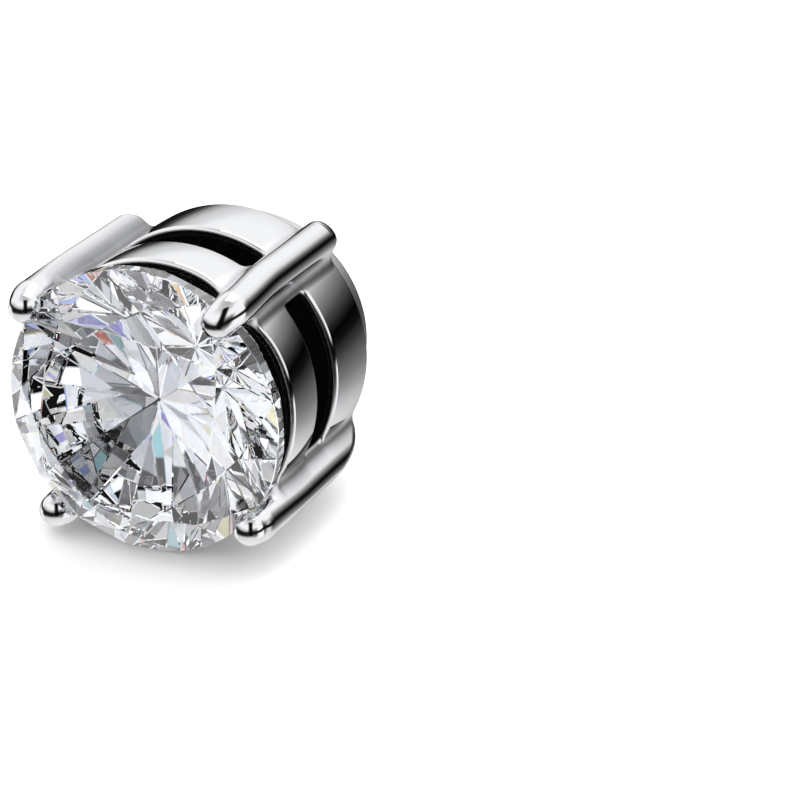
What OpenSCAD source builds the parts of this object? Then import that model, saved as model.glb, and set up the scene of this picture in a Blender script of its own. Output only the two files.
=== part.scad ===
// Magnetic earring: a round brilliant stone in an open four-prong setting of two bands,
// held through the ear by a plain disc magnet that clips on behind.
// Lengths are in millimetres and angles in degrees.
// Each piece is drawn about the earring's own axis, which is local Z and runs from the
// stone's table (below zero) through the girdle (zero) to the back magnet.
// lie_down() then lays the piece on the table top as the loose earring rests by itself.

/* [Stone] */
// Diameter of the stone across its girdle
stone_d = 7; // [6.4:0.1:8]
// Diameter of the table, from corner to corner
table_d = 4.7; // [3.8:0.1:5]
// Slope of the main facets on the crown
crown_angle = 34; // [30:1:36]
// Slope of the main facets on the pavilion
pavilion_angle = 42; // [40:1:43]
// Height of the plain girdle band
girdle_h = 0.4; // [0.2:0.05:0.5]
// Length of the star facets, as a share of the way from the table's edge to the girdle
star_reach = 0.5; // [0.4:0.05:0.6]
// Length of the lower half facets, as a share of the way from the girdle to the culet
lower_reach = 0.77; // [0.7:0.01:0.85]
// Turn of the facets about the axis, against the prongs
stone_turn = -8; // [-22:1:22]

/* [Prongs] */
// Diameter of each round prong
prong_d = 0.88; // [0.76:0.02:1]
// Depth that the girdle sits in the notch of each prong
girdle_bite = 0.23; // [0.15:0.01:0.3]
// Distance from the girdle's middle forward to the centre of a claw's round tip
claw_reach = 0.4; // [0.34:0.02:0.5]
// Distances that the claws' tips lean in over the crown, as bent by hand, one after the
// other clockwise from the lower right one as seen from the front
claw_leans = [0.04, 0.1, 0.1, 0.26]; // [0:0.02:0.3]
// Diameter of a claw's round tip
claw_d = 0.8; // [0.7:0.02:0.86]
// Length of the rounding on each prong's outer back end
heel_len = 1.1; // [0.6:0.1:1.4]
// Depth of the rounding on each prong's outer back end
heel_drop = 0.5; // [0.3:0.05:0.6]
// Air between the stone and the metal that holds it
stone_clear = 0.02; // [0.01:0.01:0.04]

/* [Bands] */
// Distance from the bands' outer face out to each prong's middle line
prong_stand = 0.335; // [0.26:0.005:0.36]
// Wall of both bands
band_wall = 0.25; // [0.22:0.01:0.4]
// Distance from the girdle's middle back to the front band
front_band_z = 0.92; // [0.8:0.02:1.1]
// Width of the front band
front_band_w = 1.31; // [1:0.01:1.4]
// Depth that the culet reaches into the rear band
culet_tuck = 0.09; // [0:0.01:0.3]
// Rounding on the long edges of both bands
band_edge_r = 0.1; // [0.05:0.01:0.11]
// Radius of the hollow fillet between a prong and a band
fillet_r = 0.4; // [0.25:0.05:0.5]

/* [Magnets] */
// Air between the culet and the magnet in the setting
culet_gap = 0.5; // [0.2:0.05:0.8]
// Thickness of the magnet in the setting
setting_magnet_t = 1.3; // [1:0.05:1.6]
// Height that the setting's magnet stands proud of the rear band
magnet_proud = 0.08; // [0.04:0.01:0.2]
// Air round the setting's magnet, filled with glue on the real thing
magnet_clear = 0.03; // [0.02:0.01:0.06]
// Diameter of the back magnet
back_magnet_d = 5.8; // [5:0.1:6]
// Thickness of the back magnet
back_magnet_t = 0.92; // [0.7:0.02:1.5]
// Rounding on the rims of both magnets
magnet_edge_r = 0.05; // [0.03:0.01:0.1]
// Air left between the two magnets
contact_gap = 0.03; // [0.02:0.01:0.06]

/* [Hidden] */
$fn = 96;

PRONGS = 4;
SIDES = 8;
FACET_STEP = 360 / SIDES;
HALF_STEP = FACET_STEP / 2;

// The cutting blocks only have to be larger than what they cut
BLOCK = 4 * stone_d;
// A fillet's circle bites this deep into its neighbours, so that no two faces just graze
FILLET_SINK = 0.02;
// A fillet ends this far inside the rounding of a band's edge
FILLET_INSET = 0.03;

// Radii and stations of the stone, on the local Z axis
stone_r = stone_d / 2;
table_r = table_d / 2;
girdle_front = -girdle_h / 2;
girdle_back = girdle_h / 2;
table_z = girdle_front - (stone_r - table_r) * tan(crown_angle);
table_edge_r = table_r * cos(HALF_STEP);
star_r = table_edge_r + star_reach * (stone_r - table_edge_r);
star_z = table_z + (star_r * cos(HALF_STEP) - table_r) * tan(crown_angle);
lower_r = (1 - lower_reach) * stone_r;
lower_z = girdle_back + (stone_r - lower_r * cos(HALF_STEP)) * tan(pavilion_angle);
culet_z = girdle_back + stone_r * tan(pavilion_angle);

// Radii of the setting
prong_r = prong_d / 2;
claw_r = claw_d / 2;
prong_ring_r = stone_r + prong_r - girdle_bite;
prong_top_r = prong_ring_r + prong_r;
band_r = prong_ring_r - prong_stand;
bore_r = band_r - band_wall;
heel_r = (heel_len * heel_len + heel_drop * heel_drop) / (2 * heel_drop);

// Stations of the bands and magnets
front_band_back = front_band_z + front_band_w;
rear_band_z = culet_z - culet_tuck;
setting_magnet_z = culet_z + culet_gap;
setting_magnet_back = setting_magnet_z + setting_magnet_t;
rear_band_back = setting_magnet_back - magnet_proud;
back_magnet_z = setting_magnet_back + contact_gap;
back_magnet_back = back_magnet_z + back_magnet_t;
setting_magnet_r = bore_r - magnet_clear;
back_magnet_r = back_magnet_d / 2;

// The loose earring leans on the girdle and on the rear band's edge, and rolls until the
// back of one prong touches too. floor_r is the distance from the axis down to the table
// top where that prong touches it.
rest_lean = atan((stone_r - band_r) / (rear_band_back - band_edge_r - girdle_back));
heel_z = rear_band_back - heel_len;
floor_r = stone_r - (heel_z - girdle_back) * tan(rest_lean);
rest_roll = 180 / PRONGS - acos((floor_r - prong_r) / prong_ring_r);
rest_lift = stone_r * cos(rest_lean) + girdle_back * sin(rest_lean);
// The crown's front edge and the back magnet's top corner are the ends of the length
rest_front = table_z * cos(rest_lean) - table_r * sin(rest_lean);
rest_back = back_magnet_back * cos(rest_lean) + back_magnet_r * sin(rest_lean);

// Lays a piece drawn about local Z on the table top: the axis turns to +Y
module lie_down() {
    translate([0, -(rest_front + rest_back) / 2, rest_lift])
        rotate([-rest_lean, 0, 0])
            rotate([0, -rest_roll, 0])
                rotate([-90, 0, 0])
                    children();
}

// Point at a radius, an angle round the axis and a height
function polar(r, angle, z) = [r * cos(angle), r * sin(angle), z];

// Cuts away all that lies beyond the plane through three points; far says which side goes
module cut_beyond(a, b, c, far) {
    flat = cross(b - a, c - a);
    facing = flat * (far - a) > 0 ? flat : -flat;
    translate(a)
        rotate([0, acos(facing[2] / norm(facing)), atan2(facing[1], facing[0])])
            translate([-BLOCK / 2, -BLOCK / 2, 0])
                cube(BLOCK);
}

// Facets of one eighth of the crown: main, star and the two upper halves beside it
module crown_cuts() {
    far = [0, 0, -BLOCK];
    table_a = polar(table_r, 0, table_z);
    table_b = polar(table_r, FACET_STEP, table_z);
    star = polar(star_r, HALF_STEP, star_z);
    star_before = polar(star_r, -HALF_STEP, star_z);
    rim_a = polar(stone_r, 0, girdle_front);
    rim_mid = polar(stone_r, HALF_STEP, girdle_front);
    rim_b = polar(stone_r, FACET_STEP, girdle_front);
    cut_beyond(table_a, star, star_before, far);
    cut_beyond(table_a, table_b, star, far);
    cut_beyond(star, rim_a, rim_mid, far);
    cut_beyond(star, rim_b, rim_mid, far);
}

// Facets of one eighth of the pavilion: main and two lower halves
module pavilion_cuts() {
    far = [0, 0, BLOCK];
    culet = [0, 0, culet_z];
    lower = polar(lower_r, HALF_STEP, lower_z);
    lower_before = polar(lower_r, -HALF_STEP, lower_z);
    rim_a = polar(stone_r, 0, girdle_back);
    rim_mid = polar(stone_r, HALF_STEP, girdle_back);
    rim_b = polar(stone_r, FACET_STEP, girdle_back);
    cut_beyond(culet, lower, lower_before, far);
    cut_beyond(lower, rim_a, rim_mid, far);
    cut_beyond(lower, rim_b, rim_mid, far);
}

// Round brilliant: a short cylinder with every facet cut from it
module brilliant() {
    difference() {
        translate([0, 0, table_z])
            cylinder(h = culet_z - table_z, r = stone_r);
        for (k = [0:SIDES - 1])
            rotate([0, 0, stone_turn + k * FACET_STEP]) {
                crown_cuts();
                pavilion_cuts();
            }
    }
}

// Space that the stone needs: its widest outline turned about the axis
module stone_space() {
    rotate_extrude()
        polygon([
            [0, table_z - stone_clear],
            [table_r, table_z - stone_clear],
            [star_r + stone_clear, star_z - stone_clear],
            [stone_r + stone_clear, girdle_front - stone_clear],
            [stone_r + stone_clear, girdle_back + stone_clear],
            [lower_r + stone_clear, lower_z + stone_clear],
            [0, culet_z + stone_clear]
        ]);
}

// Rectangle with rounded corners, its lower left corner at the origin
module rounded_rect(w, h, r) {
    translate([r, 0]) square([w - 2 * r, h]);
    translate([0, r]) square([w, h - 2 * r]);
    for (x = [r, w - r], y = [r, h - r])
        translate([x, y]) circle(r);
}

// Thin ring whose long edges are rounded
module band(z, w) {
    rotate_extrude()
        translate([bore_r, z])
            rounded_rect(band_wall, w, band_edge_r);
}

// Metal that fills the corner between a band and the two sides of one prong.
// The fillet's circle rests on both, and the triangle of the three centres less that
// circle is the filling.
module prong_fillet(z, w) {
    to_axis = band_r + fillet_r - FILLET_SINK;
    to_prong = prong_r + fillet_r - FILLET_SINK;
    along = (to_axis * to_axis - to_prong * to_prong + prong_ring_r * prong_ring_r)
        / (2 * prong_ring_r);
    across = sqrt(to_axis * to_axis - along * along);
    inner = bore_r + band_wall / 2;
    end = band_edge_r + FILLET_INSET;
    translate([0, 0, z + end])
        linear_extrude(height = w - 2 * end)
            for (side = [-1, 1])
                difference() {
                    polygon([
                        [inner, 0],
                        [prong_ring_r, 0],
                        [along, side * across],
                        inner / to_axis * [along, side * across]
                    ]);
                    translate([along, side * across]) circle(fillet_r);
                }
}

// Round rod with a claw that leans in over the crown, and a rounded heel
module prong(claw_lean) {
    claw_tilt = atan(claw_lean / claw_reach);
    difference() {
        translate([prong_ring_r, 0, 0]) {
            cylinder(h = rear_band_back, r = prong_r);
            sphere(r = prong_r);
            rotate([0, 180 + claw_tilt, 0])
                cylinder(h = norm([claw_lean, claw_reach]), r1 = prong_r, r2 = claw_r);
            translate([-claw_lean, 0, -claw_reach])
                sphere(r = claw_r);
        }
        rotate_extrude()
            difference() {
                translate([prong_top_r - heel_drop, heel_z])
                    square([heel_drop + prong_r, heel_len + prong_r]);
                translate([prong_top_r - heel_r, heel_z]) circle(heel_r);
            }
    }
}

// Cast setting: two bands and four prongs in one piece of plated metal
module setting() {
    color([0.83, 0.84, 0.86])
        lie_down()
            difference() {
                union() {
                    band(front_band_z, front_band_w);
                    band(rear_band_z, rear_band_back - rear_band_z);
                    for (k = [0:PRONGS - 1])
                        rotate([0, 0, (k + 0.5) * 360 / PRONGS]) {
                            prong(claw_leans[k]);
                            prong_fillet(front_band_z, front_band_w);
                            prong_fillet(rear_band_z, rear_band_back - rear_band_z);
                        }
                }
                stone_space();
            }
}

// Clear stone, cut with a table, a crown, a plain girdle and a pavilion
module stone() {
    color([0.93, 0.95, 0.98])
        lie_down()
            brilliant();
}

// Disc with rounded rims
module disc(z, r, t) {
    rotate_extrude()
        intersection() {
            translate([0, z]) square([r, t]);
            translate([-r, z]) rounded_rect(2 * r, t, magnet_edge_r);
        }
}

// Magnet that closes the back of the setting
module setting_magnet() {
    color([0.6, 0.61, 0.63])
        lie_down()
            disc(setting_magnet_z, setting_magnet_r, setting_magnet_t);
}

// Magnet worn behind the ear lobe
module back_magnet() {
    color([0.72, 0.73, 0.74])
        lie_down()
            disc(back_magnet_z, back_magnet_r, back_magnet_t);
}

setting();
stone();
setting_magnet();
back_magnet();
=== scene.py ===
# %% [markdown]
# # A magnetic earring, built up in cells
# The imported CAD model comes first. It fixes where every piece is, in metres, and nothing here moves
# it. The earring lies on a table top by itself, so its own axis leans a little and it has rolled on
# to one prong. Each cell below says what a piece or finish is on the real object, and why it is made
# in the way that follows.

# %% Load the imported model
import math

import bpy
import numpy as np
from mathutils import Matrix, Vector


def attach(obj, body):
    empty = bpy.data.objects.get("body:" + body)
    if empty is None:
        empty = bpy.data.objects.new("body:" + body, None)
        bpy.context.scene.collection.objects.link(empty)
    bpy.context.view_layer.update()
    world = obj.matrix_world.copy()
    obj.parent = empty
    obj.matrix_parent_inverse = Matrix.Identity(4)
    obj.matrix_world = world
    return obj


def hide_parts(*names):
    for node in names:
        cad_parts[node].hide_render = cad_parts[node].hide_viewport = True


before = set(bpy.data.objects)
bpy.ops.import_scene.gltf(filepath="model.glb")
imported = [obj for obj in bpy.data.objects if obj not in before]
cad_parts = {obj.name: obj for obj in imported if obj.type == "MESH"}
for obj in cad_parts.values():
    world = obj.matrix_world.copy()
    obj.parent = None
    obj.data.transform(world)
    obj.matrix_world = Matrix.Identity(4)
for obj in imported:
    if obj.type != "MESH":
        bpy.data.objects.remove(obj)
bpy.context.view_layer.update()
MM = 0.001
print("nodes:", sorted(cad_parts))

# %% [markdown]
# The earring's own numbers repeat those of the CAD source, in millimetres. Local z is the earring's
# axis: the stone's table is below zero, the girdle's middle is at zero and the back magnet is at the
# far end.

# %% The stone's radii and stations
# A true circle bulges past the CAD model's many-sided one, so round pieces keep this far inside it
ROUND_INSET = 0.002
STONE_R, TABLE_R = 3.5, 2.35
RIM_R = STONE_R - ROUND_INSET
GIRDLE_FRONT, GIRDLE_BACK = -0.2, 0.2
CROWN_ANGLE, PAVILION_ANGLE = math.radians(34), math.radians(42)
CROWN_TAN, PAVILION_TAN = math.tan(CROWN_ANGLE), math.tan(PAVILION_ANGLE)
HALF_STEP = math.radians(22.5)
STONE_TURN = math.radians(-8)
STAR_SHARE, LOWER_SHARE = 0.5, 0.23
TABLE_Z = GIRDLE_FRONT - (STONE_R - TABLE_R) * CROWN_TAN
TABLE_EDGE_R = TABLE_R * math.cos(HALF_STEP)
STAR_R = TABLE_EDGE_R + STAR_SHARE * (STONE_R - TABLE_EDGE_R)
STAR_Z = TABLE_Z + (STAR_R * math.cos(HALF_STEP) - TABLE_R) * CROWN_TAN
LOWER_R = LOWER_SHARE * STONE_R
LOWER_Z = GIRDLE_BACK + (STONE_R - LOWER_R * math.cos(HALF_STEP)) * PAVILION_TAN
CULET_Z = GIRDLE_BACK + STONE_R * PAVILION_TAN
print("table at", round(TABLE_Z, 3), "culet at", round(CULET_Z, 3))

# %% The setting's and the magnets' radii and stations
# A table of four lists the prongs in turn, as the stone's face is seen: lower right, lower left, upper
# left and upper right
PRONG_R, CLAW_R, NOTCH_BITE = 0.44, 0.4, 0.23
PRONG_RING_R = STONE_R + PRONG_R - NOTCH_BITE
PRONG_TOP_R = PRONG_RING_R + PRONG_R
CLAW_REACH = 0.4
CLAW_LEANS = (0.04, 0.1, 0.1, 0.26)
HEEL_LEN, HEEL_DROP = 1.1, 0.5
BAND_INSET, WALL, BAND_EDGE_R = 0.335, 0.25, 0.1
BAND_R = PRONG_RING_R - BAND_INSET
BORE_R = BAND_R - WALL
CULET_GAP, MAGNET_LEN, BACK_LEN = 0.5, 1.3, 0.92
CULET_COVER, PROUD, CONTACT, GLUE = 0.09, 0.08, 0.03, 0.03
FRONT_BAND = (0.92, 2.23)
MAGNET = (CULET_Z + CULET_GAP, CULET_Z + CULET_GAP + MAGNET_LEN)
REAR_BAND = (CULET_Z - CULET_COVER, MAGNET[1] - PROUD)
BACK_MAGNET = (MAGNET[1] + CONTACT, MAGNET[1] + CONTACT + BACK_LEN)
MAGNET_R, BACK_MAGNET_R, RIM_EDGE = BORE_R - GLUE, 2.9, 0.05
print("rear band from", round(REAR_BAND[0], 3), "to", round(REAR_BAND[1], 3))

# %% [markdown]
# The loose earring leans on the girdle and on the rear band's edge, and rolls until the back of one
# prong touches too. The same three turns that lay the CAD solids down lay every new mesh down, point
# by point, so that each object stays at the origin.

# %% Lay points on the table top
LEAN = math.atan((STONE_R - BAND_R) / (REAR_BAND[1] - BAND_EDGE_R - GIRDLE_BACK))
HEEL_Z = REAR_BAND[1] - HEEL_LEN
FLOOR_R = STONE_R - (HEEL_Z - GIRDLE_BACK) * math.tan(LEAN)
ROLL = math.pi / 4 - math.acos((FLOOR_R - PRONG_R) / PRONG_RING_R)
LIFT = STONE_R * math.cos(LEAN) + GIRDLE_BACK * math.sin(LEAN)
REST_FRONT = TABLE_Z * math.cos(LEAN) - TABLE_R * math.sin(LEAN)
REST_BACK = BACK_MAGNET[1] * math.cos(LEAN) + BACK_MAGNET_R * math.sin(LEAN)
SHIFT = -(REST_FRONT + REST_BACK) / 2
LAY = np.array(
    Matrix.Rotation(-LEAN, 3, "X") @ Matrix.Rotation(-ROLL, 3, "Y") @ Matrix.Rotation(-math.pi / 2, 3, "X")
)


def lie_down(points):
    """Local millimetres to metres on the table top: turned by LAY, then shifted and lifted."""
    return (np.asarray(points) @ LAY.T + [0, SHIFT, LIFT]) * MM


print("lean", round(math.degrees(LEAN), 2), "roll", round(math.degrees(ROLL), 2), "degrees")


# %% A mesh from arrays
def add_piece(name, points, faces, body, replaced, material, smooth=False):
    """Points in local millimetres and faces as lists of indices become one object at the origin."""
    mesh = bpy.data.meshes.new(name)
    mesh.from_pydata(lie_down(points).tolist(), [], faces)
    mesh.polygons.foreach_set("use_smooth", np.full(len(mesh.polygons), smooth))
    mesh.materials.append(material)
    mesh.validate()
    piece = bpy.data.objects.new(name, mesh)
    bpy.context.scene.collection.objects.link(piece)
    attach(piece, body)
    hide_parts(replaced)
    print(name, len(mesh.vertices), "points,", len(mesh.polygons), "faces")
    return piece


# %% [markdown]
# Colours are written as a web page writes them, and one function turns them to the linear values
# that the shaders add and multiply. One more small function adds a node, sets it and links it. The
# sockets of a Mix node share their names, so they are given by number: 0 is the factor, 2 and 3 are
# the two numbers to mix, 6 and 7 the two colours, and the mixed colour comes out at 2.

# %% Colour and node helpers
def linear(hex_colour):
    """sRGB hex to linear red, green, blue and alpha."""
    parts = [int(hex_colour[i:i + 2], 16) / 255 for i in (1, 3, 5)]
    return [c / 12.92 if c <= 0.04045 else ((c + 0.055) / 1.055) ** 2.4 for c in parts] + [1.0]


def add_node(tree, kind, settings=None, inputs=None, stops=()):
    """One node. settings go on the node, stops on its colour ramp as places and colours, and inputs on
    its sockets: an output is linked, a value is set."""
    node = tree.nodes.new(kind)
    for key, value in (settings or {}).items():
        setattr(node, key, value)
    if stops:
        while len(node.color_ramp.elements) < len(stops):
            node.color_ramp.elements.new(0.5)
        for element, (place, colour) in zip(node.color_ramp.elements, stops):
            element.position = place
            element.color = colour
    for key, value in (inputs or {}).items():
        if isinstance(value, bpy.types.NodeSocket):
            tree.links.new(value, node.inputs[key])
        else:
            node.inputs[key].default_value = value
    return node


def new_material(name):
    """An empty node material and its tree."""
    material = bpy.data.materials.new(name)
    material.use_nodes = True
    material.node_tree.nodes.clear()
    return material, material.node_tree


# %% [markdown]
# The setting is cast brass or silver under bright rhodium plate, polished like a mirror. It shows its
# surroundings in hard black and white. A wheel leaves very faint waves in such a polish, so the
# roughness changes a little from place to place, over about half a millimetre. The wheel can't get
# deep into the hollows beside the prongs, which stay satin, and their colour is painted a soft even
# grey as painted shade, the darkest beside the upper left prong. Inside the bands and on the bands'
# narrow front and rear edges the plate is rougher and its colour is painted near black as painted
# shade. Only the edges' outer corners flash white.

# %% Bright rhodium plate
POLISH_WAVE = 0.5 * MM
bright_plate, tree = new_material("bright_rhodium_plate")
place = add_node(tree, "ShaderNodeTexCoord")
haze = add_node(tree, "ShaderNodeTexNoise", inputs={
    "Vector": place.outputs["Object"], "Scale": 1 / POLISH_WAVE, "Detail": 2.0})
polish = add_node(tree, "ShaderNodeMapRange", inputs={
    "Value": haze.outputs["Fac"], "From Min": 0.3, "From Max": 0.7, "To Min": 0.035, "To Max": 0.06})
hollow = add_node(tree, "ShaderNodeAttribute", settings={"attribute_name": "hollow"})
unpolished = add_node(tree, "ShaderNodeAttribute", settings={"attribute_name": "unpolished"})
shade_node = add_node(tree, "ShaderNodeAttribute", settings={"attribute_name": "inside_shade"})
# The grey in the hollows is painted shade, over their real satin roughness
tone = add_node(tree, "ShaderNodeMix", settings={"data_type": "RGBA"}, inputs={
    0: hollow.outputs["Fac"], 6: linear("#E9EAEC"), 7: linear("#929395")})
# Near black inside the bands and on their narrow edges is painted shade
tone = add_node(tree, "ShaderNodeMix", settings={"data_type": "RGBA"}, inputs={
    0: shade_node.outputs["Fac"], 6: tone.outputs[2], 7: linear("#1A1A1B")})
dull = add_node(tree, "ShaderNodeMix", inputs={
    0: unpolished.outputs["Fac"], 2: polish.outputs["Result"], 3: 0.42})
dull = add_node(tree, "ShaderNodeMix", inputs={
    0: shade_node.outputs["Fac"], 2: dull.outputs[0], 3: 0.5})
plate = add_node(tree, "ShaderNodeBsdfPrincipled", inputs={
    "Base Color": tone.outputs[2], "Metallic": 1.0, "Roughness": dull.outputs[0]})
add_node(tree, "ShaderNodeOutputMaterial", inputs={"Surface": plate.outputs["BSDF"]})
print("made", bright_plate.name)

# %% [markdown]
# The disc magnets are sintered metal with a dull nickel coat over a turned rim. The eye sees a soft
# satin sheen drawn out round the rim. The turned lines of the real one are a few hundredths of a
# millimetre apart, and here they are drawn at 0.08 mm, so that they just show. The face that is glued
# into the setting is painted near black as painted shade, for the closed space inside the setting.

# %% Satin nickel
TURNED_LINE = 0.08 * MM
satin_nickel, tree = new_material("satin_nickel_coat")
place = add_node(tree, "ShaderNodeTexCoord")
along = add_node(tree, "ShaderNodeMapping", settings={"vector_type": "POINT"}, inputs={
    "Vector": place.outputs["Object"], "Scale": (60.0, 1 / TURNED_LINE, 60.0)})
lines = add_node(tree, "ShaderNodeTexNoise", inputs={
    "Vector": along.outputs["Vector"], "Scale": 1.0, "Detail": 3.0})
sheen = add_node(tree, "ShaderNodeMapRange", inputs={
    "Value": lines.outputs["Fac"], "From Min": 0.3, "From Max": 0.7, "To Min": 0.3, "To Max": 0.42})
shade_node = add_node(tree, "ShaderNodeAttribute", settings={"attribute_name": "inside_shade"})
# Near black on the glued face is painted shade, not the coat's colour
tone = add_node(tree, "ShaderNodeMix", settings={"data_type": "RGBA"}, inputs={
    0: shade_node.outputs["Fac"], 6: linear("#DEDEDC"), 7: linear("#121212")})
nickel = add_node(tree, "ShaderNodeBsdfPrincipled", inputs={
    "Base Color": tone.outputs[2], "Metallic": 1.0, "Roughness": sheen.outputs["Result"]})
add_node(tree, "ShaderNodeOutputMaterial", inputs={"Surface": nickel.outputs["BSDF"]})
print("made", satin_nickel.name)

# %% [markdown]
# The stone is clear cubic zirconia, which bends light by about 2.17. That is far more than window
# glass does, so most light that enters turns back at the rear facets and comes out in front, in
# hard-edged pieces. The shader bends all colours alike, so the flecks of colour that the real stone
# spreads come from a few small tinted cards in the tent below.

# %% Clear cut stone
cut_stone, tree = new_material("clear_cubic_zirconia")
clear = add_node(tree, "ShaderNodeBsdfGlass", inputs={
    "Color": linear("#FFFFFF"), "Roughness": 0.0, "IOR": 2.17})
add_node(tree, "ShaderNodeOutputMaterial", inputs={"Surface": clear.outputs["BSDF"]})
print("made", cut_stone.name)

# %% [markdown]
# A round brilliant is a pattern of rings. Eight table corners, eight star tips, the rim of the girdle
# and, behind it, eight lower tips and the culet carry all 57 facets. The girdle is a short cylinder,
# and each facet that reaches it cuts a shallow scallop into its edge.

# %% Points of the brilliant
RIM_STEPS = 6
RIM_COUNT = 16 * RIM_STEPS


def ring(radius, angles, z):
    """Points at a radius, at angles round the axis, at a height."""
    angles = np.asarray(angles) + STONE_TURN
    return np.stack([radius * np.cos(angles), radius * np.sin(angles), np.full(angles.shape, z)], 1)


def rim(tip_r, tip_z, rim_z):
    """The girdle's edge: at each angle, the height of the plane through a tip and two rim points.

    In words: with a half facet whose chord spans 22.5 degrees, the height is the rim's height plus
    the slope of the facet times how far the round edge stands outside the chord."""
    angles = np.arange(RIM_COUNT) * 2 * math.pi / RIM_COUNT
    middle = (np.floor(angles / HALF_STEP + 1e-9) + 0.5) * HALF_STEP
    outside = STONE_R * (np.cos(angles - middle) - math.cos(HALF_STEP / 2))
    slope = (rim_z - tip_z) / (STONE_R * math.cos(HALF_STEP / 2) - tip_r * math.cos(HALF_STEP / 2))
    points = ring(RIM_R, angles, rim_z)
    points[:, 2] += slope * outside
    return points


eighths = np.arange(8) * 2 * HALF_STEP
parts = {
    "table": ring(TABLE_R, eighths, TABLE_Z),
    "star": ring(STAR_R, eighths + HALF_STEP, STAR_Z),
    "front": rim(STAR_R, STAR_Z, GIRDLE_FRONT),
    "back": rim(LOWER_R, LOWER_Z, GIRDLE_BACK),
    "lower": ring(LOWER_R, eighths + HALF_STEP, LOWER_Z),
    "culet": ring(0.0, [0.0], CULET_Z),
}
starts = dict(zip(parts, np.cumsum([0] + [len(p) for p in parts.values()])))
stone_points = np.concatenate(list(parts.values()))
print({name: len(p) for name, p in parts.items()})

# %% Facets of the brilliant
def at(name, k):
    """Index of point k of a ring, counted round and round."""
    return int(starts[name] + k % len(parts[name]))


facets = [[at("table", k) for k in range(8)][::-1]]
for k in range(8):
    first, half, last = 2 * k * RIM_STEPS, (2 * k + 1) * RIM_STEPS, (2 * k + 2) * RIM_STEPS
    facets += [
        [at("table", k), at("table", k + 1), at("star", k)],
        [at("table", k), at("star", k), at("front", first), at("star", k - 1)],
        [at("star", k)] + [at("front", j) for j in range(half, first - 1, -1)],
        [at("star", k)] + [at("front", j) for j in range(last, half - 1, -1)],
        [at("lower", k)] + [at("back", j) for j in range(first, half + 1)],
        [at("lower", k)] + [at("back", j) for j in range(half, last + 1)],
        [at("culet", 0), at("lower", k - 1), at("back", first), at("lower", k)],
    ]
for j in range(RIM_COUNT):
    facets.append([at("front", j), at("front", j + 1), at("back", j + 1), at("back", j)])
print(len(facets), "faces")

# %% [markdown]
# Polishing leaves the junctions of the facets a few hundredths of a millimetre wide, and they catch
# the light as thin white lines. A Bevel with one segment cuts them. It only takes material away, so
# the stone stays in its notches.

# %% The stone
JUNCTION, FLATTEST_JUNCTION = 0.02 * MM, math.radians(6)
stone = add_piece("brilliant_stone", stone_points, facets, "earring", "stone", cut_stone)
junctions = stone.modifiers.new("facet_junctions", "BEVEL")
junctions.width = JUNCTION
junctions.segments = 1
junctions.limit_method = "ANGLE"
junctions.angle_limit = FLATTEST_JUNCTION
print("junctions", round(junctions.width / MM, 3), "mm")

# %% [markdown]
# The setting is one casting: where a band meets a prong, the metal flows over in a hollow curve, and
# a polished surface shows every crease that shouldn't be there. A grid of two parameters can't branch
# from band to prong, so this piece is made another way. A distance function says how far each point
# of space is from the metal, and the surface is where that distance is zero.

# %% Joining and cutting with a rounding
def blend(a, b, r):
    """Union of two distances with a hollow fillet of radius r where they meet."""
    return np.maximum(r, np.minimum(a, b)) - np.hypot(np.maximum(r - a, 0), np.maximum(r - b, 0))


def trim(a, b, r):
    """What lies in both, with an edge rounded to radius r."""
    return -blend(-a, -b, r)


# %% Distance to the wall with its windows
BAND_CROWN, CORNER_FILLET, HALF_PIER = 0.03, 0.16, 0.6
FLARE, FLARE_LEN = 0.28, 0.75
OVERRUN, PIER_START = 1, FRONT_BAND[0] + 0.3


def wall_distance(r, angle, z):
    """Distance to the thin wall that both bands and the four piers between their windows make.

    In words: the wall is drawn flat first, with the way round it and z as its two directions. A
    band's front edge comes forward near a prong by the flare times a bell curve of the way to the
    prong's middle, and the piers join the bands with small fillets. The flat drawing is then given
    its thickness, with rounded edges. The outer face bulges like a barrel: by the crown times one
    minus the square of the height from the band's middle, as a share of half its width. The rear
    band overruns its end and is cut off flat later."""
    to_prong = BAND_R * np.abs((angle / (math.pi / 2)) % 1 - 0.5) * math.pi / 2
    start = FRONT_BAND[0] - FLARE * np.exp(-(to_prong / FLARE_LEN) ** 2)
    front = np.abs(z - (start + FRONT_BAND[1]) / 2) - (FRONT_BAND[1] - start) / 2
    rear = np.maximum(REAR_BAND[0] - z, z - REAR_BAND[1] - OVERRUN)
    pier = np.maximum(to_prong - HALF_PIER, np.maximum(PIER_START - z, z - REAR_BAND[1] - OVERRUN))
    flat = blend(np.minimum(front, rear), pier, CORNER_FILLET)
    bulge = sum(
        BAND_CROWN * np.clip(1 - ((2 * z - first - last) / (last - first)) ** 2, 0, 1)
        for first, last in (FRONT_BAND, REAR_BAND))
    out = r - bulge * np.clip((r - BORE_R) / WALL, 0, 1)
    dr = np.abs(out - (BORE_R + BAND_R) / 2) - WALL / 2 + BAND_EDGE_R
    dz = flat + BAND_EDGE_R
    return np.hypot(np.maximum(dr, 0), np.maximum(dz, 0)) + np.minimum(np.maximum(dr, dz), 0) - BAND_EDGE_R


window = (BAND_R * math.pi / 2 - 2 * HALF_PIER, REAR_BAND[0] - FRONT_BAND[1])
print("windows", round(window[0], 2), "by", round(window[1], 2), "mm")


# %% Distance to a prong and its claw
SPLAY, SPLAY_LEN = ((0.06, -0.04), (0.0, 0.0), (0.1, 0.0), (0.0, -0.1)), 2
NO_DOME = 9.0
DOMES = (NO_DOME, NO_DOME, NO_DOME, REAR_BAND[1] - 0.36)


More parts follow.
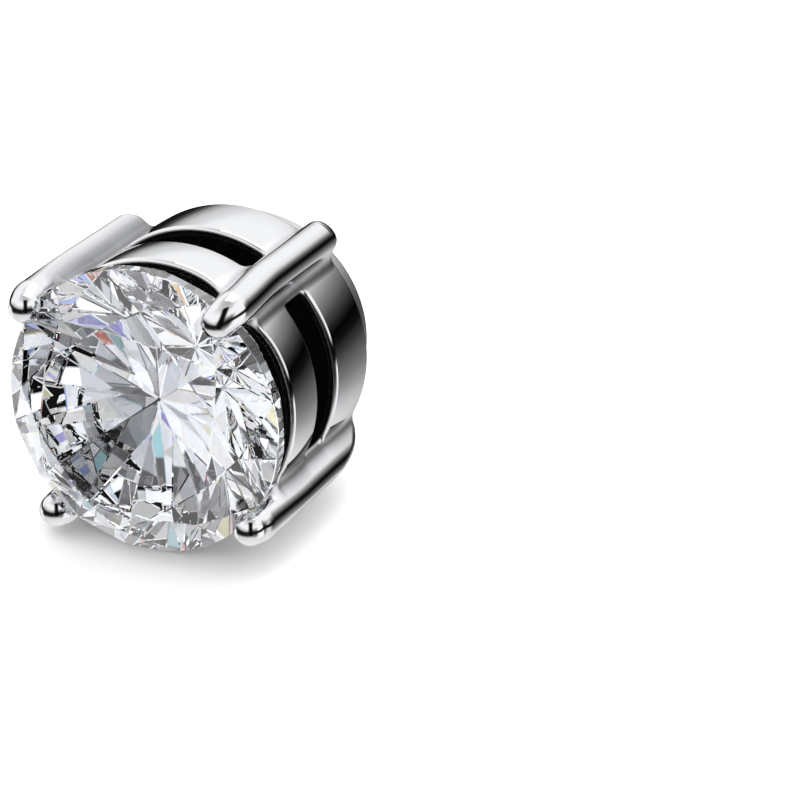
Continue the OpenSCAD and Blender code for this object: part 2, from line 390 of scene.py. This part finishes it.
def prong_distance(x, y, z, k):
    """Distance to prong k: a straight round rod whose front end bends in along an arc, as a claw.

    In words: the arc starts along the rod and turns by twice the angle whose tangent is lean over
    reach, so its end leans in by just that much. The nearest point of the arc has the same angle
    about the arc's centre, and the radius eases from the rod's to the claw's along it. The rod
    itself was bent a little by hand when the stone was set: it moves by the splay outwards and
    sideways over its first two millimetres. The one prong with a domed rear end turns into a ball
    behind the station of its dome, and the others have theirs far beyond the metal."""
    turn = (k + 0.5) * math.pi / 2
    bent = np.clip(z / SPLAY_LEN, 0, 1)
    bent = bent * bent * (3 - 2 * bent)
    out = x * math.cos(turn) + y * math.sin(turn) - PRONG_RING_R - SPLAY[k][0] * bent
    side = y * math.cos(turn) - x * math.sin(turn) - SPLAY[k][1] * bent
    bend = 2 * math.atan(CLAW_LEANS[k] / CLAW_REACH)
    bend_r = CLAW_REACH / math.sin(bend)
    angle = np.clip(np.arctan2(-z, out + bend_r), 0, bend)
    share = angle / bend
    radius = PRONG_R + (CLAW_R - PRONG_R) * share * share * (3 - 2 * share)
    d_out, d_z = out + bend_r - bend_r * np.cos(angle), z + bend_r * np.sin(angle)
    claw = np.sqrt(d_out ** 2 + d_z ** 2 + side ** 2) - radius
    rod = np.sqrt(out ** 2 + side ** 2 + np.maximum(z - DOMES[k], 0) ** 2) - PRONG_R
    return np.where(z > 0, rod, claw)


# %% Distance to the space that the stone needs
STONE_GAP = 0.02


def stone_space(r, z):
    """Distance to the space that the stone needs: its widest outline turned about the axis."""
    outline = np.array([
        (0, TABLE_Z - STONE_GAP), (TABLE_R, TABLE_Z - STONE_GAP), (STAR_R + STONE_GAP, STAR_Z - STONE_GAP),
        (STONE_R + STONE_GAP, GIRDLE_FRONT - STONE_GAP), (STONE_R + STONE_GAP, GIRDLE_BACK + STONE_GAP),
        (LOWER_R + STONE_GAP, LOWER_Z + STONE_GAP), (0, CULET_Z + STONE_GAP)])
    steps = outline[1:] - outline[:-1]
    normals = np.stack([steps[:, 1], -steps[:, 0]], 1) / np.linalg.norm(steps, axis=1)[:, None]
    sides = [(r - p[0]) * n[0] + (z - p[1]) * n[1] for p, n in zip(outline[:-1], normals)]
    return np.max(sides, axis=0)


# %% Distance to the whole setting
FACE_FILLET, NOTCH_EDGE, HEEL_EDGES = 0.42, 0.03, (0.02, 0.3)
# Each heel's length along the prong, and how far it closes in over that length
HEELS = ((1.6, 0.5), (HEEL_LEN, HEEL_DROP), (0.5, 0.3), (0.5, 0.03))
BORE_START = GIRDLE_BACK + 0.3
INSIDE_CAD = 0.001


def heel_distance(r, z, length, drop):
    """Distance to the space inside a heel: a cylinder that closes in along an arc at its rear end.

    In words: an arc that falls by drop over length has the radius of length squared plus drop
    squared, over twice the drop."""
    radius = (length ** 2 + drop ** 2) / (2 * drop)
    return np.hypot(r - PRONG_TOP_R + radius, np.maximum(z - REAR_BAND[1] + length, 0)) - radius


def both_distances(x, y, z):
    """Distance to the wall, and distance to the nearest prong with its heel cut, whose edge gets
    rounder towards the rear."""
    r, angle = np.hypot(x, y), np.arctan2(y, x)
    prongs = []
    for k, (length, drop) in enumerate(HEELS):
        along = np.clip((z - REAR_BAND[1] + length) / length, 0, 1)
        heel_edge = HEEL_EDGES[0] + (HEEL_EDGES[1] - HEEL_EDGES[0]) * along
        prongs.append(trim(prong_distance(x, y, z, k), heel_distance(r, z, length, drop), heel_edge))
    return wall_distance(r, angle, z), np.min(prongs, axis=0)


def setting_distance(x, y, z):
    """The wall and four prongs joined with broad fillets, the back trimmed, and the bore and the
    stone's notches cut out, all of it one micrometre inside the CAD faces."""
    r = np.hypot(x, y)
    metal = blend(*both_distances(x, y, z), FACE_FILLET)
    metal = np.maximum(metal, np.where(z > BORE_START, BORE_R - r, -1))
    metal = trim(metal, z - REAR_BAND[1], BAND_EDGE_R)
    return trim(metal, -stone_space(r, z), NOTCH_EDGE) + INSIDE_CAD


print("at a band's middle:", round(float(setting_distance(3.25, 0.0, 1.5)), 3), "mm")

# %% [markdown]
# The distance is worked out on a fine grid of points that runs round the axis, so that its rows
# follow the bands' edges. Every little cube that the surface passes through gets one point, and four
# neighbouring cubes round a crossed edge of the grid make one face. Each point is then moved along
# the slope of the distance until it lies on the metal's surface, and the slope itself gives the exact
# normal, so reflections run smoothly.

# %% From distances to faces
ROUND_STEPS, CELL = 360, 0.042


def surface_net(values):
    """Points, in grid steps, and four-sided faces of the zero level of values on a grid that closes
    on itself along its second axis.

    In words: a cube's point is the mean of the places where its edges cross zero, and an edge that
    crosses zero gives the face of the four cubes round it, turned to point outwards."""
    shape = (values.shape[0] - 1, values.shape[1], values.shape[2] - 1)
    inside = values < 0
    total = np.zeros(shape + (3,))
    count = np.zeros(shape)
    quads = []
    for axis in range(3):
        end = -1 if axis != 1 else None
        here = tuple(slice(0, end) if a == axis else slice(None) for a in range(3))
        beyond = np.roll(values, -1, axis)[here]
        crossed = inside[here] != (beyond < 0)
        edges = np.argwhere(crossed)
        a, b = values[here][crossed], beyond[crossed]
        places = edges.astype(float)
        places[:, axis] += a / (a - b)
        others = [o for o in range(3) if o != axis]
        cubes = []
        for du, dv in ((0, 0), (1, 0), (1, 1), (0, 1)):
            cube = edges.copy()
            cube[:, others[0]] -= du
            cube[:, others[1]] -= dv
            within = places - cube
            cube[:, 1] %= shape[1]
            cubes.append(cube)
            np.add.at(total, tuple(cube.T), within)
            np.add.at(count, tuple(cube.T), 1)
        quad = np.stack([np.ravel_multi_index(tuple(c.T), shape) for c in cubes], 1)
        flip = inside[here][crossed] ^ (axis != 1)
        quad[flip] = quad[flip][:, ::-1]
        quads.append(quad)
    used = np.flatnonzero(count.ravel())
    number = np.full(count.size, -1)
    number[used] = np.arange(len(used))
    corners = np.stack(np.unravel_index(used, shape), 1)
    points = corners + total.reshape(-1, 3)[used] / count.ravel()[used][:, None]
    return points, number[np.concatenate(quads)]


def round_to_straight(r, angle, z):
    """x, y and z of points given by radius, angle and z."""
    return r * np.cos(angle), r * np.sin(angle), z


# The grid reaches a little past the metal on every side
low_r, high_r, low_z, high_z = 2.96, 4.25, -0.95, 5.2
round_step = 2 * math.pi / ROUND_STEPS
cell_grid = np.meshgrid(
    np.arange(low_r, high_r, CELL), np.arange(ROUND_STEPS) * round_step, np.arange(low_z, high_z, CELL),
    indexing="ij")
values = setting_distance(*round_to_straight(*cell_grid))
net_steps, net_faces = surface_net(values)
net_points = np.stack(round_to_straight(*(net_steps * [CELL, round_step, CELL] + [low_r, 0, low_z]).T), 1)
print(values.size, "grid points give", len(net_points), "points and", len(net_faces), "faces")

# %% Settle the points on the surface
def slope(points, step=0.004):
    """Gradient of the distance by the difference of two nearby values along each axis."""
    shifts = np.eye(3) * step
    return np.stack([
        (setting_distance(*(points + s).T) - setting_distance(*(points - s).T)) / (2 * step)
        for s in shifts], 1)


def settle(points, faces, rounds):
    """Evens out the points along the surface, then moves each by its distance along the slope.

    In words: half of the way to the mean of its neighbours, less what would leave the surface, then
    twice the slope times the distance over the square of the slope."""
    pairs = np.concatenate([faces[:, [0, 1]], faces[:, [1, 2]], faces[:, [2, 3]], faces[:, [3, 0]]])
    for _ in range(rounds):
        total, count = np.zeros_like(points), np.zeros(len(points))
        for a, b in (pairs.T, pairs[:, ::-1].T):
            for axis in range(3):
                total[:, axis] += np.bincount(a, points[b, axis], len(points))
            count += np.bincount(a, minlength=len(points))
        normal = slope(points)
        normal /= np.linalg.norm(normal, axis=1)[:, None]
        drift = 0.5 * (total / count[:, None] - points)
        drift -= (drift * normal).sum(1)[:, None] * normal
        points = points + drift
        for _ in range(2):
            steep = slope(points)
            steep_sq = np.maximum((steep ** 2).sum(1), 0.25)
            points = points - (setting_distance(*points.T) / steep_sq)[:, None] * steep
    return points


net_points = settle(net_points, net_faces, 3)
normals = slope(net_points)
normals /= np.linalg.norm(normals, axis=1)[:, None]
print("furthest off the surface:", round(float(np.abs(setting_distance(*net_points.T)).max()), 5), "mm")

# %% The setting
setting = add_piece(
    "cast_setting", net_points, net_faces.tolist(), "earring", "setting", bright_plate,
    smooth=True)
setting.data.normals_split_custom_set_from_vertices((normals @ LAY.T).tolist())
print("triangles:", 2 * len(net_faces))

# %% [markdown]
# Three masks tell the plate where the polishing wheel got and where shade is painted, and the same
# distances give them. Inside the bands and on their narrow edges the colour is painted near black as
# painted shade. Close to a band and a prong at once the wheel hardly got in, and there the colour is
# painted darker as painted shade, darkest in the hollow beside the upper left prong.

# %% Where the polish reaches, and where shade is painted
# The last four numbers say how strong the hollows' painted shade is beside each prong
DULL_REACH, HOLLOW_SHADE = (0.33, 0.33, 0.45, 0.33), (0.0, 0.3, 1.0, 0.0)
ROD_REACH, UNSHADED_EDGE, SHADE_FADE = 0.38, 0.05, 0.04
reach = np.hypot(net_points[:, 0], net_points[:, 1])
# Painted shade inside the bands and on their narrow edges, stopping short of the edges' outer corners
inside_shade = np.clip((BAND_R - UNSHADED_EDGE - reach) / SHADE_FADE, 0, 1) * (net_points[:, 2] > BORE_START)
to_wall, to_rod = both_distances(*net_points.T)
nearest = np.floor(np.arctan2(net_points[:, 1], net_points[:, 0]) / (math.pi / 2)).astype(int) % 4
# Full up to half the reach, and nothing from one and a half times the reach on
near_wall = np.clip(1.5 - to_wall / np.take(DULL_REACH, nearest), 0, 1)
near_rod = np.clip(1.5 - to_rod / ROD_REACH, 0, 1)
masks = {"inside_shade": inside_shade, "unpolished": near_wall * near_rod}
# Painted shade in the hollows, strongest beside the upper left prong
masks["hollow"] = masks["unpolished"] * np.take(HOLLOW_SHADE, nearest)
for name, mask in masks.items():
    setting.data.attributes.new(name, "FLOAT", "POINT").data.foreach_set("value", mask.astype(np.float32))
print({name: round(float(mask.mean()), 3) for name, mask in masks.items()})

# %% [markdown]
# Both magnets are plain discs with slightly broken rims. A profile carried round the axis makes
# each, with enough steps that the sheen on the rim has no corners.

# %% A disc with rounded rims
def disc_mesh(start, end, radius, edge, steps=160, arc=6):
    """Points and faces of a profile carried round the axis.

    In words: the profile runs round the two quarter circles of the broken edges, with one more ring
    a little inside each, so that the flat faces shade flat. Each flat face is one polygon."""
    bend = np.linspace(0, math.pi / 2, arc)
    front = np.stack([radius - edge + edge * np.sin(bend), start + edge - edge * np.cos(bend)], 1)
    back = np.stack([radius - edge + edge * np.cos(bend), end - edge + edge * np.sin(bend)], 1)
    inset = radius - 1.3 * edge
    profile = np.concatenate([[[inset, start]], front, back, [[inset, end]]])
    angles = np.arange(steps) * 2 * math.pi / steps
    points = np.stack([
        profile[:, 0, None] * np.cos(angles), profile[:, 0, None] * np.sin(angles),
        np.broadcast_to(profile[:, 1, None], (len(profile), steps))], -1).reshape(-1, 3)
    row, column = np.meshgrid(np.arange(len(profile) - 1), np.arange(steps), indexing="ij")
    a, b = row * steps + column, row * steps + (column + 1) % steps
    faces = np.stack([a, b, b + steps, a + steps], -1).reshape(-1, 4).tolist()
    last = (len(profile) - 1) * steps
    return points, faces + [list(range(steps))[::-1], list(range(last, last + steps))]


# %% The magnet in the setting and the one behind the lobe
disc_points, disc_faces = disc_mesh(*MAGNET, MAGNET_R, RIM_EDGE)
front_disc = add_piece(
    "setting_disc", disc_points, disc_faces, "earring", "setting_magnet", satin_nickel,
    smooth=True)
# The glued half of the disc gets the painted shade
glued_shade = (disc_points[:, 2] < (MAGNET[0] + MAGNET[1]) / 2).astype(np.float32)
front_disc.data.attributes.new("inside_shade", "FLOAT", "POINT").data.foreach_set("value", glued_shade)
disc_points, disc_faces = disc_mesh(*BACK_MAGNET, BACK_MAGNET_R - ROUND_INSET, RIM_EDGE)
add_piece(
    "back_disc", disc_points, disc_faces, "back", "back_magnet", satin_nickel, smooth=True)

# %% [markdown]
# The photograph was taken in a light tent. The tent is white above, greyer at the very top, and it
# has a dark band along the horizon, darkest to the right, and a dark gap for the camera. White cards
# stand on both sides of the camera. The polished metal shows the tent as black and white stripes, and
# the cards as thin white lines on the bands' edges, so the tent is drawn by direction in the world's
# shader.

# %% The light tent
CAMERA_AZIMUTH, CAMERA_ELEVATION = 28.74, 25.94
world = bpy.data.worlds.new("light_tent")
bpy.context.scene.world = world
world.use_nodes = True
tree = world.node_tree
tree.nodes.clear()


def greys(*pairs):
    """Stops of a ramp from pairs of a height, from -1 straight down to 1 straight up, and a grey."""
    return [((z + 1) / 2, (grey, grey, grey, 1)) for z, grey in pairs]


direction = add_node(tree, "ShaderNodeTexCoord").outputs["Generated"]
split = add_node(tree, "ShaderNodeSeparateXYZ", inputs={"Vector": direction})
height = add_node(tree, "ShaderNodeMapRange", inputs={
    "Value": split.outputs["Z"], "From Min": -1.0, "From Max": 1.0}).outputs["Result"]
dark_side = add_node(tree, "ShaderNodeValToRGB", inputs={"Fac": height}, stops=greys(
    (-1.0, 0.9), (-0.61, 0.75), (-0.54, 0.54), (-0.48, 0.34), (-0.4, 0.2), (-0.31, 0.12), (-0.2, 0.04),
    (-0.11, 0.006), (-0.02, 0.001), (0.04, 0.015), (0.13, 0.07), (0.26, 0.24), (0.36, 0.48), (0.43, 0.82),
    (0.5, 1.0), (0.68, 1.0), (1.0, 0.5)))
light_side = add_node(tree, "ShaderNodeValToRGB", inputs={"Fac": height}, stops=greys(
    (-1.0, 0.9), (-0.6, 0.7), (-0.5, 0.3), (-0.42, 0.06), (-0.33, 0.01), (-0.08, 0.01), (0.02, 0.08),
    (0.1, 0.35), (0.2, 0.62), (0.3, 0.75), (0.39, 0.95), (0.47, 1.0), (0.68, 1.0), (1.0, 0.5)))
right = add_node(tree, "ShaderNodeVectorMath", settings={"operation": "DOT_PRODUCT"}, inputs={
    0: direction, 1: (1.0, 0.2, 0.0)})
to_right = add_node(tree, "ShaderNodeMapRange", settings={"interpolation_type": "SMOOTHSTEP"}, inputs={
    "Value": right.outputs["Value"], "From Min": -0.2, "From Max": 0.3})
tent = add_node(tree, "ShaderNodeMix", settings={"data_type": "RGBA"}, inputs={
    0: to_right.outputs["Result"], 6: light_side.outputs["Color"], 7: dark_side.outputs["Color"]})
print("tent drawn")

# %% The dark gap behind the camera
azimuth, elevation = math.radians(CAMERA_AZIMUTH), math.radians(CAMERA_ELEVATION)
TO_CAMERA = Vector((
    math.sin(azimuth) * math.cos(elevation), -math.cos(azimuth) * math.cos(elevation), math.sin(elevation)))
sideways = add_node(tree, "ShaderNodeVectorMath", settings={"operation": "DOT_PRODUCT"}, inputs={
    0: direction, 1: (math.cos(azimuth), math.sin(azimuth), 0.0)})
sideways = add_node(tree, "ShaderNodeMath", settings={"operation": "ABSOLUTE"}, inputs={
    0: sideways.outputs["Value"]})
gap = add_node(tree, "ShaderNodeMapRange", settings={"interpolation_type": "SMOOTHSTEP"}, inputs={
    "Value": sideways.outputs["Value"], "From Min": 0.12, "From Max": 0.34, "To Min": 1.0, "To Max": 0.0})
ahead = add_node(tree, "ShaderNodeVectorMath", settings={"operation": "DOT_PRODUCT"}, inputs={
    0: direction, 1: (math.sin(azimuth), -math.cos(azimuth), 0.0)})
ahead = add_node(tree, "ShaderNodeMapRange", settings={"interpolation_type": "SMOOTHSTEP"}, inputs={
    "Value": ahead.outputs["Value"], "From Min": 0.3, "From Max": 0.4})
above = add_node(tree, "ShaderNodeMapRange", settings={"interpolation_type": "SMOOTHSTEP"}, inputs={
    "Value": split.outputs["Z"], "From Min": -0.5, "From Max": -0.3})
gap = add_node(tree, "ShaderNodeMath", settings={"operation": "MULTIPLY"}, inputs={
    0: gap.outputs["Result"], 1: ahead.outputs["Result"]})
gap = add_node(tree, "ShaderNodeMath", settings={"operation": "MULTIPLY"}, inputs={
    0: gap.outputs["Value"], 1: above.outputs["Result"]})
tent = add_node(tree, "ShaderNodeMix", settings={"data_type": "RGBA"}, inputs={
    0: gap.outputs["Value"], 6: tent.outputs[2], 7: (0.004, 0.004, 0.005, 1.0)})
print("gap towards", [round(v, 3) for v in TO_CAMERA])

# %% White cards on both sides of the camera
beside = add_node(tree, "ShaderNodeMapRange", settings={"interpolation_type": "SMOOTHSTEP"}, inputs={
    "Value": sideways.outputs["Value"], "From Min": 0.36, "From Max": 0.62})
for side, start, end in (("Y", 0.62, 0.5), ("Y", -0.4, -0.05), ("Z", -0.75, -0.6)):
    limit = add_node(tree, "ShaderNodeMapRange", settings={"interpolation_type": "SMOOTHSTEP"}, inputs={
        "Value": split.outputs[side], "From Min": min(start, end), "From Max": max(start, end),
        "To Min": float(start > end), "To Max": float(start < end)})
    beside = add_node(tree, "ShaderNodeMath", settings={"operation": "MULTIPLY"}, inputs={
        0: beside.outputs[0], 1: limit.outputs["Result"]})
off_horizon = add_node(tree, "ShaderNodeMath", settings={"operation": "ADD"}, inputs={
    0: split.outputs["Z"], 1: 0.05})
off_horizon = add_node(tree, "ShaderNodeMath", settings={"operation": "ABSOLUTE"}, inputs={
    0: off_horizon.outputs["Value"]})
off_horizon = add_node(tree, "ShaderNodeMapRange", settings={"interpolation_type": "SMOOTHSTEP"}, inputs={
    "Value": off_horizon.outputs["Value"], "From Min": 0.07, "From Max": 0.2})
beside = add_node(tree, "ShaderNodeMath", settings={"operation": "MULTIPLY"}, inputs={
    0: beside.outputs["Value"], 1: off_horizon.outputs["Result"]})
tent = add_node(tree, "ShaderNodeMix", settings={"data_type": "RGBA"}, inputs={
    0: beside.outputs["Value"], 6: tent.outputs[2], 7: (1.0, 1.0, 1.0, 1.0)})
print("cards from 21 degrees off the camera's way outwards")

# %% [markdown]
# The stone needs a livelier tent than the metal. Every facet picks out one small part of it, and the
# real stone also spreads white light into colours. So the rays that come through the stone see cloth
# in patches of different greys with hard edges, and a few small cards in clear colours.

# %% What the stone sees
PATCH_SCALE = 1.8
patches = add_node(tree, "ShaderNodeTexVoronoi", inputs={"Vector": direction, "Scale": PATCH_SCALE})
patch = add_node(tree, "ShaderNodeSeparateColor", inputs={"Color": patches.outputs["Color"]})
cloth = add_node(tree, "ShaderNodeMapRange", inputs={
    "Value": patch.outputs["Red"], "From Min": 0.0, "From Max": 1.0, "To Min": 0.5, "To Max": 1.65})
by_height = add_node(tree, "ShaderNodeValToRGB", inputs={"Fac": height}, stops=greys(
    (-1.0, 0.95), (-0.6, 0.95), (-0.35, 0.8), (-0.1, 0.6), (0.1, 0.65), (0.25, 0.95), (1.0, 1.0)))
cloth = add_node(tree, "ShaderNodeMix", settings={"data_type": "RGBA", "blend_type": "MULTIPLY"}, inputs={
    0: 1.0, 6: by_height.outputs["Color"], 7: cloth.outputs["Result"]})
print("patches about", round(math.degrees(1 / PATCH_SCALE)), "degrees wide")

# %% Small cards in clear colours
CARD_SCALE = 9.0
cards = add_node(tree, "ShaderNodeTexVoronoi", inputs={"Vector": direction, "Scale": CARD_SCALE})
card = add_node(tree, "ShaderNodeSeparateColor", inputs={"Color": cards.outputs["Color"]})
card_colours = ("#5A48C8", "#E9A93C", "#8FE4EE", "#DD6038", "#F3EA9A", "#5F8BE8")
hues = add_node(tree, "ShaderNodeValToRGB", inputs={"Fac": card.outputs["Red"]}, stops=[
    (number / len(card_colours), linear(colour)) for number, colour in enumerate(card_colours)])
hues.color_ramp.interpolation = "CONSTANT"
shown = add_node(tree, "ShaderNodeMapRange", inputs={
    "Value": card.outputs["Green"], "From Min": 0.94, "From Max": 0.945, "To Min": 0.07, "To Max": 0.65})
cloth = add_node(tree, "ShaderNodeMix", settings={"data_type": "RGBA"}, inputs={
    0: shown.outputs["Result"], 6: cloth.outputs[2], 7: hues.outputs["Color"]})
cloth = add_node(tree, "ShaderNodeMix", settings={"data_type": "RGBA", "blend_type": "MULTIPLY"}, inputs={
    0: 1.0, 6: cloth.outputs[2], 7: linear("#F7FAFF")})
cloth = add_node(tree, "ShaderNodeMix", settings={"data_type": "RGBA"}, inputs={
    0: gap.outputs["Value"], 6: cloth.outputs[2], 7: (0.16, 0.16, 0.17, 1.0)})
print("cards about", round(math.degrees(1 / CARD_SCALE)), "degrees wide")

# %% [markdown]
# A world can answer each kind of ray in its own way. A ray that left through the stone finds the
# patched cloth, one that bounced off metal finds the tent, one that lights the sheet finds an even
# white, and one straight from the camera finds the white paper behind everything.

# %% The world that each ray sees
seen = add_node(tree, "ShaderNodeLightPath")
tent = add_node(tree, "ShaderNodeMix", settings={"data_type": "RGBA"}, inputs={
    0: seen.outputs["Is Transmission Ray"], 6: tent.outputs[2], 7: cloth.outputs[2]})
glow = add_node(tree, "ShaderNodeBackground", inputs={"Color": tent.outputs[2], "Strength": 1.1})
backdrop = add_node(tree, "ShaderNodeBackground", inputs={"Color": (1.0, 1.0, 1.0, 1.0), "Strength": 1.0})
fill = add_node(tree, "ShaderNodeBackground", inputs={"Color": (1.0, 1.0, 1.0, 1.0), "Strength": 1.7})
lit = add_node(tree, "ShaderNodeMixShader", inputs={
    0: seen.outputs["Is Diffuse Ray"], 1: glow.outputs[0], 2: fill.outputs[0]})
both = add_node(tree, "ShaderNodeMixShader", inputs={
    0: seen.outputs["Is Camera Ray"], 1: lit.outputs[0], 2: backdrop.outputs[0]})
add_node(tree, "ShaderNodeOutputWorld", inputs={"Surface": both.outputs[0]})
print("world", world.name)

# %% [markdown]
# The floor is a plain white sheet that turns paper white, as in the photograph, apart from the soft
# shadow where the earring touches it. The sheet gets more light than the tent seems to give, so that
# only the places close under the earring fall below white. The metal and the stone see the lower
# part of the tent in its place. One large soft lamp above and behind gives the shadow its direction,
# to the front.

# %% Floor and lamp
SHEET_R, SHEET_SIDES = 45 * MM, 64
floor_paint, tree = new_material("white_sheet")
sheet = add_node(tree, "ShaderNodeBsdfPrincipled", inputs={
    "Base Color": linear("#F4F4F4"), "Roughness": 0.6, "Specular IOR Level": 0.2})
add_node(tree, "ShaderNodeOutputMaterial", inputs={"Surface": sheet.outputs["BSDF"]})
turn = np.linspace(0, 2 * math.pi, SHEET_SIDES, endpoint=False)
sheet_points = np.stack([SHEET_R * np.cos(turn), SHEET_R * np.sin(turn), 0 * turn], 1)
floor_mesh = bpy.data.meshes.new("table_top")
floor_mesh.from_pydata(sheet_points.tolist(), [], [list(range(SHEET_SIDES))])
floor_mesh.materials.append(floor_paint)
floor = bpy.data.objects.new("table_top", floor_mesh)
floor.visible_glossy = False
floor.visible_transmission = False
bpy.context.scene.collection.objects.link(floor)

lamp_data = bpy.data.lights.new("soft_box", "AREA")
lamp_data.shape = "RECTANGLE"
lamp_data.size, lamp_data.size_y = 80 * MM, 80 * MM
lamp_data.energy = 0.035
lamp = bpy.data.objects.new("soft_box", lamp_data)
lamp.location = Vector((0, 50, 110)) * MM
lamp.rotation_euler = (-lamp.location).to_track_quat("-Z", "Y").to_euler()
bpy.context.scene.collection.objects.link(lamp)
print("floor and lamp in place")

# %% [markdown]
# The camera stands where the left view was taken from: 29 degrees round to the right of the stone's
# face and 26 degrees above the table. The earring sits left of the picture's centre, so the camera
# aims past it.

# %% The camera
FOCAL_PX, FRAME_PX, SENSOR_MM = 2843.8, 800.0, 36.0
CAMERA_ROLL = math.radians(-1.18)
GIRDLE_PX = (145.17, 410.12)
CAMERA_DISTANCE = 66.0 * MM
level_right = Vector((math.cos(azimuth), math.sin(azimuth), 0))
level_up = TO_CAMERA.cross(level_right)
right_way = math.cos(CAMERA_ROLL) * level_right + math.sin(CAMERA_ROLL) * level_up
up_way = math.cos(CAMERA_ROLL) * level_up - math.sin(CAMERA_ROLL) * level_right
facing = Matrix((right_way, up_way, TO_CAMERA)).transposed()
aim = Vector(((GIRDLE_PX[0] - FRAME_PX / 2) / FOCAL_PX, -(GIRDLE_PX[1] - FRAME_PX / 2) / FOCAL_PX, -1))
facing = facing @ aim.rotation_difference(Vector((0, 0, -1))).to_matrix()
camera_data = bpy.data.cameras.new("camera")
camera_data.sensor_width = SENSOR_MM
camera_data.lens = FOCAL_PX / FRAME_PX * SENSOR_MM
camera_data.clip_start, camera_data.clip_end = 1 * MM, 1.0
camera = bpy.data.objects.new("camera", camera_data)
camera.rotation_mode = "QUATERNION"
camera.rotation_quaternion = facing.to_quaternion()
camera.location = Vector((0, SHIFT, LIFT)) * MM + CAMERA_DISTANCE * TO_CAMERA
bpy.context.scene.collection.objects.link(camera)
bpy.context.scene.camera = camera
print("lens", round(camera_data.lens, 2), "mm")

# %% [markdown]
# Light turns back many times inside the stone before it comes out, so a path may have up to twenty
# bends. The plain view transform shows the white sheet as paper white.

# %% Picture settings
scene = bpy.context.scene
scene.view_settings.view_transform = "Standard"
scene.cycles.max_bounces = 20
scene.cycles.transmission_bounces = 20
scene.cycles.glossy_bounces = 8
print("view", scene.view_settings.view_transform)
